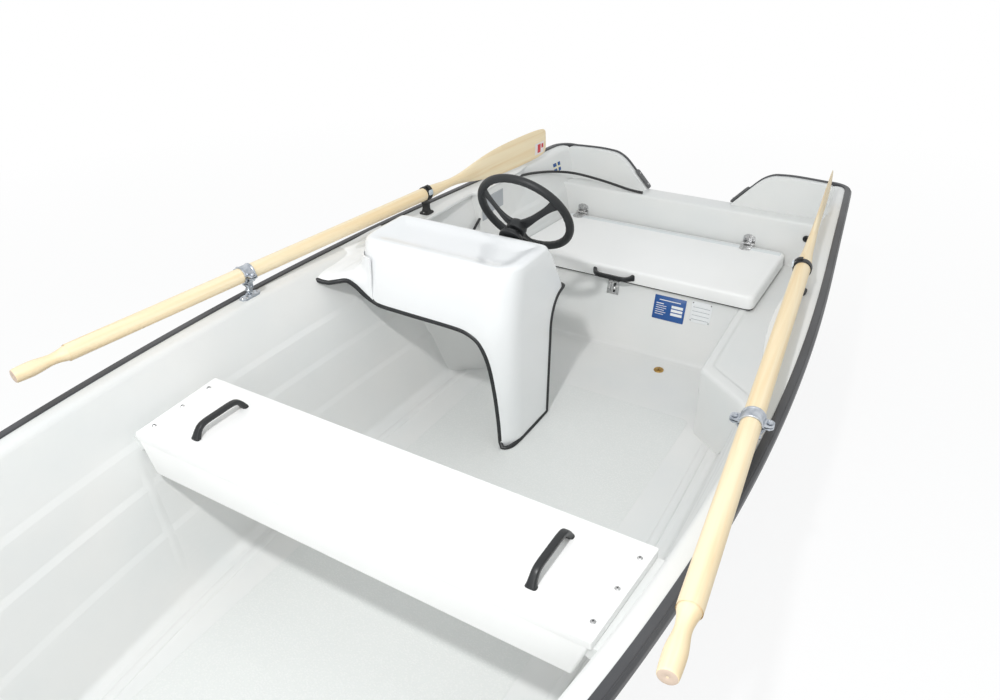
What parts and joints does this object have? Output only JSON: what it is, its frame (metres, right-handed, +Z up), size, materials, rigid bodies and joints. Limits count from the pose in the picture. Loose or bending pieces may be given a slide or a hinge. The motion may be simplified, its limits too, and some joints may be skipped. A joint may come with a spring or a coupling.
{
  "type": "fishing dinghy",
  "caption": "Open clinker-style glass-fibre fishing dinghy with side steering console, mid seat, stern locker with hinged lid, side benches and stowed oars in swivelling clamps.",
  "frame": {"origin": "on the waterline plane, at the middle of the hull's length, on the centreline", "axes": "+X towards the bow, +Y to port, +Z up"},
  "size_m": [4.4043, 1.7022, 1.0195],
  "materials": {
    "hull_white": "glossy gelcoat",
    "liner_grey": "glossy gelcoat, non-slip on the sole",
    "console_white": "glossy gelcoat",
    "rail_black": "satin",
    "trim_black": "satin",
    "handle_black": "textured",
    "wheel_black": "soft, satin",
    "oar_pine": "bare pine",
    "zinc": "hot-dip galvanised",
    "stainless": "brushed",
    "brass": "worn",
    "plate_blue": "gloss",
    "plate_white": "satin",
    "label_grey": "satin",
    "strap_black": "matte",
    "cable_black": "satin"
  },
  "bodies": {
    "boat": {"bow_bulkhead": "liner_grey", "bow_eye": "stainless", "bow_seat": "console_white", "capacity_plate": "plate_white", "console_shell": "console_white", "console_trim": "trim_black", "console_wing": "console_white", "data_plate": "plate_blue", "drain_plug": "brass", "foredeck": "liner_grey", "hasp_plate": "stainless", "helm_bezel": "handle_black", "inner_liner": "liner_grey", "keel_strip": "hull_white", "lid_hinge_fixed_port": "stainless", "lid_hinge_fixed_starboard": "stainless", "locker_front": "liner_grey", "mid_thwart": "console_white", "oar_holder_port": "strap_black", "oar_holder_starboard": "strap_black", "outer_hull": "hull_white", "rail_end_cap_port": "label_grey", "rail_end_cap_starboard": "label_grey", "rowlock_socket_port": "zinc", "rowlock_socket_starboard": "zinc", "rub_rail_port": "rail_black", "rub_rail_starboard": "rail_black", "side_bench_port": "liner_grey", "side_bench_starboard": "liner_grey", "side_deck_port": "liner_grey", "side_deck_starboard": "liner_grey", "side_label": "label_grey", "steering_cable": "cable_black", "stem_cap": "hull_white", "thwart_handle_port": "handle_black", "thwart_handle_starboard": "handle_black", "thwart_riser_port": "liner_grey", "thwart_riser_starboard": "liner_grey", "transom": "liner_grey", "transom_grommet": "liner_grey"},
    "locker_lid_unit": {"lid_handle": "handle_black", "lid_hinge_leaf_port": "stainless", "lid_hinge_leaf_starboard": "stainless", "locker_lid": "console_white"},
    "steering_wheel": {"wheel_rim": "wheel_black", "wheel_spokes": "wheel_black"},
    "oar_unit_port": {"oar_clamp_port": "zinc", "oar_port": "oar_pine", "oar_strap_port": "strap_black", "rowlock_fork_port": "zinc"},
    "oar_unit_starboard": {"oar_clamp_starboard": "zinc", "oar_starboard": "oar_pine", "oar_strap_starboard": "strap_black", "rowlock_fork_starboard": "zinc"}
  },
  "joints": [
    {"name": "locker_lid_hinge", "type": "hinge", "parent": "boat", "child": "locker_lid_unit", "pos_m": [-2.071, 0, 0.3343], "axis": [0, -1, 0], "range_deg": [0, 75]},
    {"name": "steering_turn", "type": "hinge", "parent": "boat", "child": "steering_wheel", "pos_m": [-1.135, -0.21, 0.708], "axis": [-0.8771, 0, 0.4802], "range_deg": [-540, 540]},
    {"name": "oar_swing_port", "type": "hinge", "parent": "boat", "child": "oar_unit_port", "pos_m": [-0.41, 0.75926, 0.674], "axis": [0, 0, 1], "range_deg": [-105, 0]},
    {"name": "oar_swing_starboard", "type": "hinge", "parent": "boat", "child": "oar_unit_starboard", "pos_m": [-0.41, -0.75926, 0.674], "axis": [0, 0, 1], "range_deg": [0, 105]}
  ]
}
